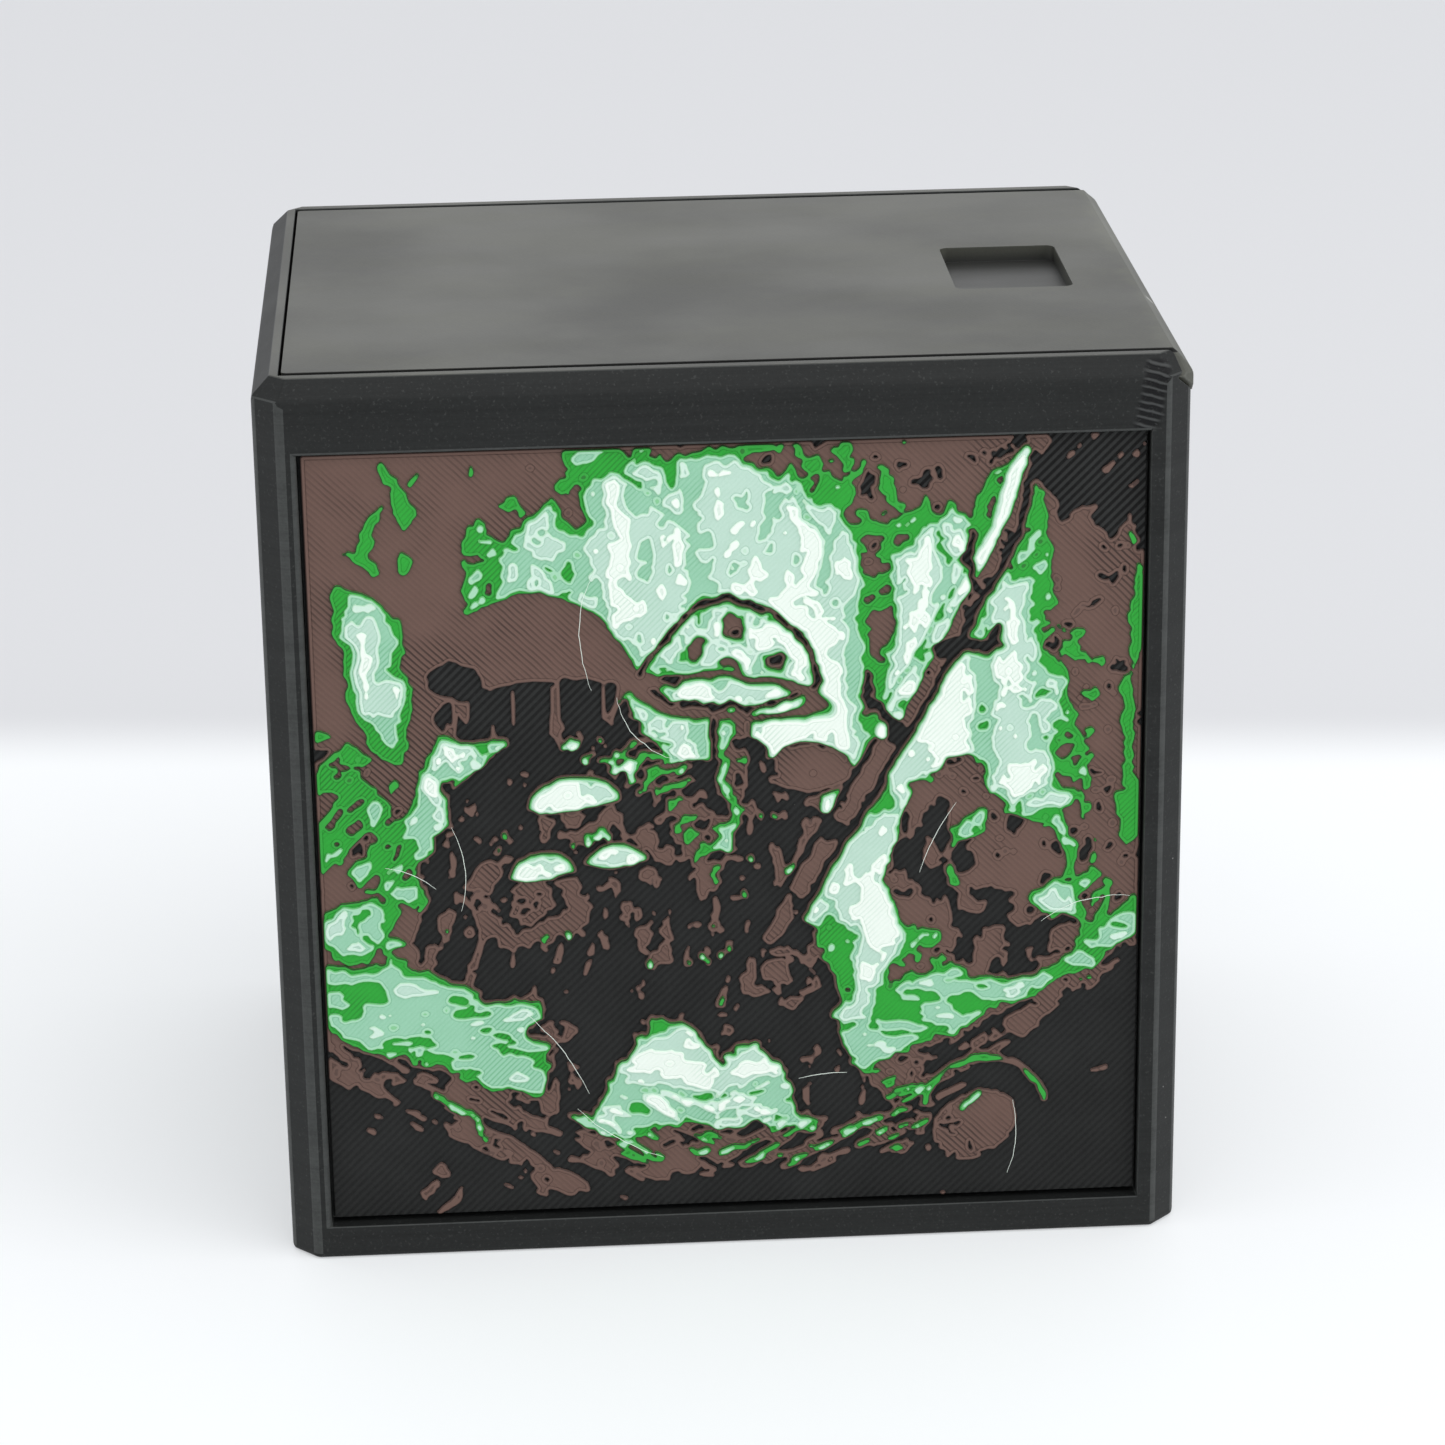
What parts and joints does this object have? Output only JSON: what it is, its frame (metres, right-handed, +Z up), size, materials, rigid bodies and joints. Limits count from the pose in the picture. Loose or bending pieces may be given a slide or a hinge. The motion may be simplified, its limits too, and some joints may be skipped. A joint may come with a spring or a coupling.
{
  "type": "card deck box",
  "caption": "Deck box for upright sleeved cards, with chamfered edges, a sideways sliding lid with a finger recess, and a framed relief picture panel in its front.",
  "frame": {"origin": "middle of the underside, on the surface that the box stands on", "axes": "+X to the right seen from the front, along the lid's travel; -Y out of the front with the picture; +Z up"},
  "size_m": [0.0982, 0.078, 0.1],
  "materials": {
    "box_plastic": "matte black printed plastic with fine level layer lines",
    "lid_plastic": "matte black printed plastic, smooth top with soft scuffs",
    "panel_plastic": "black printed plastic with slanting print lines",
    "brown_plastic": "brown printed plastic with fine crossed print lines",
    "green_plastic": "bright green printed plastic with slanting print lines",
    "mint_plastic": "pale mint where a thin white layer lets the green through",
    "white_plastic": "white printed plastic with fine bead outlines"
  },
  "bodies": {
    "box": {"box_body": "box_plastic", "art_panel_base": "panel_plastic", "art_layer_brown": "brown_plastic", "art_layer_green": "green_plastic", "art_layer_mint": "mint_plastic", "art_layer_white": "white_plastic"},
    "lid": {"sliding_lid": "lid_plastic"}
  },
  "joints": [
    {"name": "lid_slide", "type": "slide", "parent": "box", "child": "lid", "axis": [1, 0, 0], "range_m": [0, 0.1]}
  ]
}
